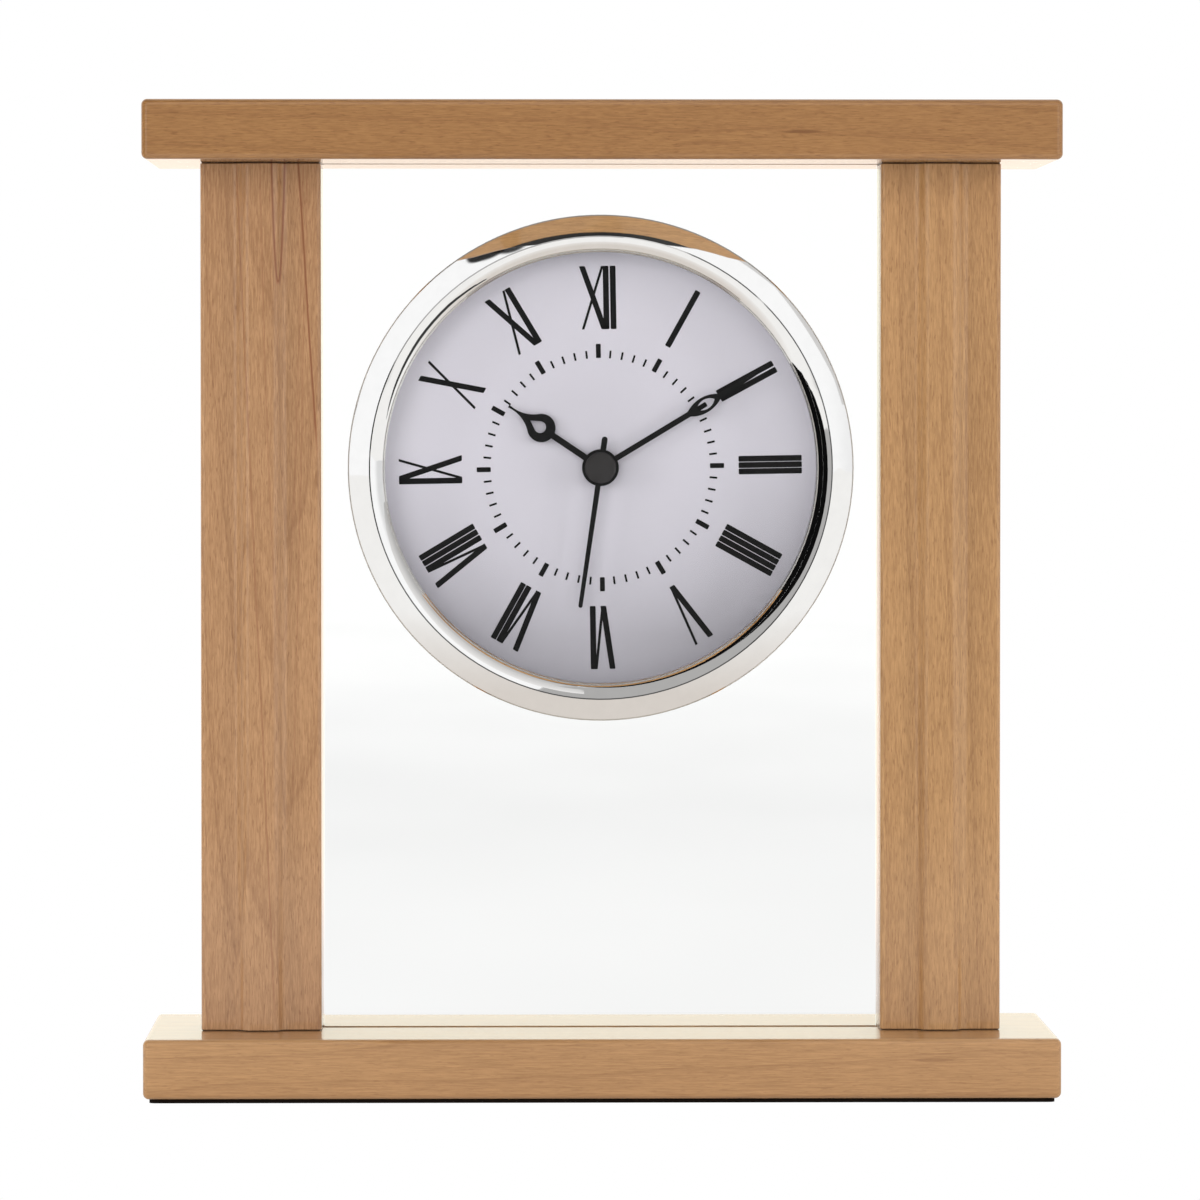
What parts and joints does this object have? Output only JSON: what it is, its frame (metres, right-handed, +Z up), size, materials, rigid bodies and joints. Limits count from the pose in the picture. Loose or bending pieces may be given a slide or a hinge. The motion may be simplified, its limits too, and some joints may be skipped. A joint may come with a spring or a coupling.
{
  "type": "desk clock",
  "caption": "Wooden desk clock: base, posts and top rail hold a clear glass pane, which carries a round chromed quartz insert with a Roman dial and open hands.",
  "frame": {"origin": "middle of the felt's underside, where the clock stands", "axes": "+Z up, the dial faces -Y, +X is to the right as the dial is read"},
  "size_m": [0.184, 0.06, 0.2008],
  "materials": {
    "beech": "oiled, satin",
    "dowel_wood": "plain turned",
    "felt": "short dense pile",
    "screw_steel": "zinc plated",
    "pane_glass": "polished, clear",
    "lens_glass": "polished, clear, bevelled",
    "gasket_rubber": "matt",
    "bezel_chrome": "polished chrome plate",
    "ring_silver": "satin silver",
    "dial_silver": "fine satin, faintly lavender",
    "case_plastic": "moulded, fine texture",
    "wheel_plastic": "natural moulded",
    "magnet": "sintered, dull",
    "core_iron": "soft iron sheet",
    "copper_wire": "enamelled copper wire",
    "circuit_green": "solder mask",
    "crystal_can": "drawn tin can",
    "contact_metal": "nickel plated spring strip",
    "battery_sleeve": "plain printed sleeve, no lettering",
    "hand_black": "satin black lacquer",
    "knob_plastic": "moulded ribs"
  },
  "bodies": {
    "frame": {"base_board": "beech", "top_rail": "beech", "left_column": "beech", "right_column": "beech", "column_dowels": "dowel_wood", "base_felt": "felt", "base_screws": "screw_steel", "glass_pane": "pane_glass", "hole_gasket": "gasket_rubber", "insert_cup": "case_plastic", "bezel_ring": "bezel_chrome", "lens_glass": "lens_glass", "spacer_ring": "ring_silver", "dial_plate": "dial_silver", "dial_carrier": "case_plastic", "movement_front_plate": "case_plastic", "train_bridge": "case_plastic", "bridge_screws": "screw_steel", "movement_rear_case": "case_plastic", "stator_plate": "core_iron", "coil_core": "core_iron", "coil_bobbin": "wheel_plastic", "coil_winding": "copper_wire", "circuit_board": "circuit_green", "quartz_can": "crystal_can", "timing_chip": "case_plastic", "contact_plus": "contact_metal", "contact_minus": "contact_metal"},
    "rotor": {"rotor_pinion": "wheel_plastic", "rotor_magnet": "magnet"},
    "step_train": {"step_wheel": "wheel_plastic"},
    "second_train": {"second_wheel": "wheel_plastic", "second_hand": "hand_black", "second_hand_cap": "hand_black"},
    "third_train": {"third_wheel": "wheel_plastic"},
    "centre_train": {"centre_wheel": "wheel_plastic"},
    "minute_train": {"minute_pipe": "wheel_plastic", "minute_hand": "hand_black"},
    "motion_train": {"minute_wheel": "wheel_plastic"},
    "hour_train": {"hour_wheel": "wheel_plastic", "hour_hand": "hand_black"},
    "setting_train": {"setting_shaft": "knob_plastic", "setting_knob": "knob_plastic"},
    "battery": {"battery_cell": "battery_sleeve"}
  },
  "joints": [
    {"name": "second_spin", "type": "hinge", "parent": "frame", "child": "second_train", "pos_m": [0, 0, 0.127], "axis": [0, 1, 0], "continuous": true},
    {"name": "step_spin", "type": "hinge", "parent": "frame", "child": "step_train", "pos_m": [0.00188, 0, 0.13764], "axis": [0, 1, 0], "continuous": true},
    {"name": "rotor_spin", "type": "hinge", "parent": "frame", "child": "rotor", "pos_m": [-0.00352, 0, 0.14407], "axis": [0, 1, 0], "continuous": true},
    {"name": "third_spin", "type": "hinge", "parent": "frame", "child": "third_train", "pos_m": [-0.011, 0, 0.127], "axis": [0, 1, 0], "continuous": true},
    {"name": "centre_spin", "type": "hinge", "parent": "frame", "child": "centre_train", "pos_m": [0, 0, 0.127], "axis": [0, 1, 0], "continuous": true},
    {"name": "minute_spin", "type": "hinge", "parent": "frame", "child": "minute_train", "pos_m": [0, 0, 0.127], "axis": [0, 1, 0], "continuous": true},
    {"name": "motion_spin", "type": "hinge", "parent": "frame", "child": "motion_train", "pos_m": [0.00902, 0, 0.13028], "axis": [0, 1, 0], "continuous": true},
    {"name": "hour_spin", "type": "hinge", "parent": "frame", "child": "hour_train", "pos_m": [0, 0, 0.127], "axis": [0, 1, 0], "continuous": true},
    {"name": "setting_spin", "type": "hinge", "parent": "frame", "child": "setting_train", "pos_m": [0.01688, 0, 0.13579], "axis": [0, 1, 0], "continuous": true},
    {"name": "battery_slide", "type": "slide", "parent": "frame", "child": "battery", "axis": [0, 1, 0], "range_m": [0, 0.016]}
  ],
  "couplings": [
    {"joint": "step_spin", "follows": "second_spin", "ratio": -5},
    {"joint": "rotor_spin", "follows": "second_spin", "ratio": 30},
    {"joint": "third_spin", "follows": "second_spin", "ratio": -0.13333},
    {"joint": "centre_spin", "follows": "second_spin", "ratio": 0.016667},
    {"joint": "motion_spin", "follows": "minute_spin", "ratio": -0.33333},
    {"joint": "hour_spin", "follows": "minute_spin", "ratio": 0.083333},
    {"joint": "setting_spin", "follows": "minute_spin", "ratio": 1}
  ]
}
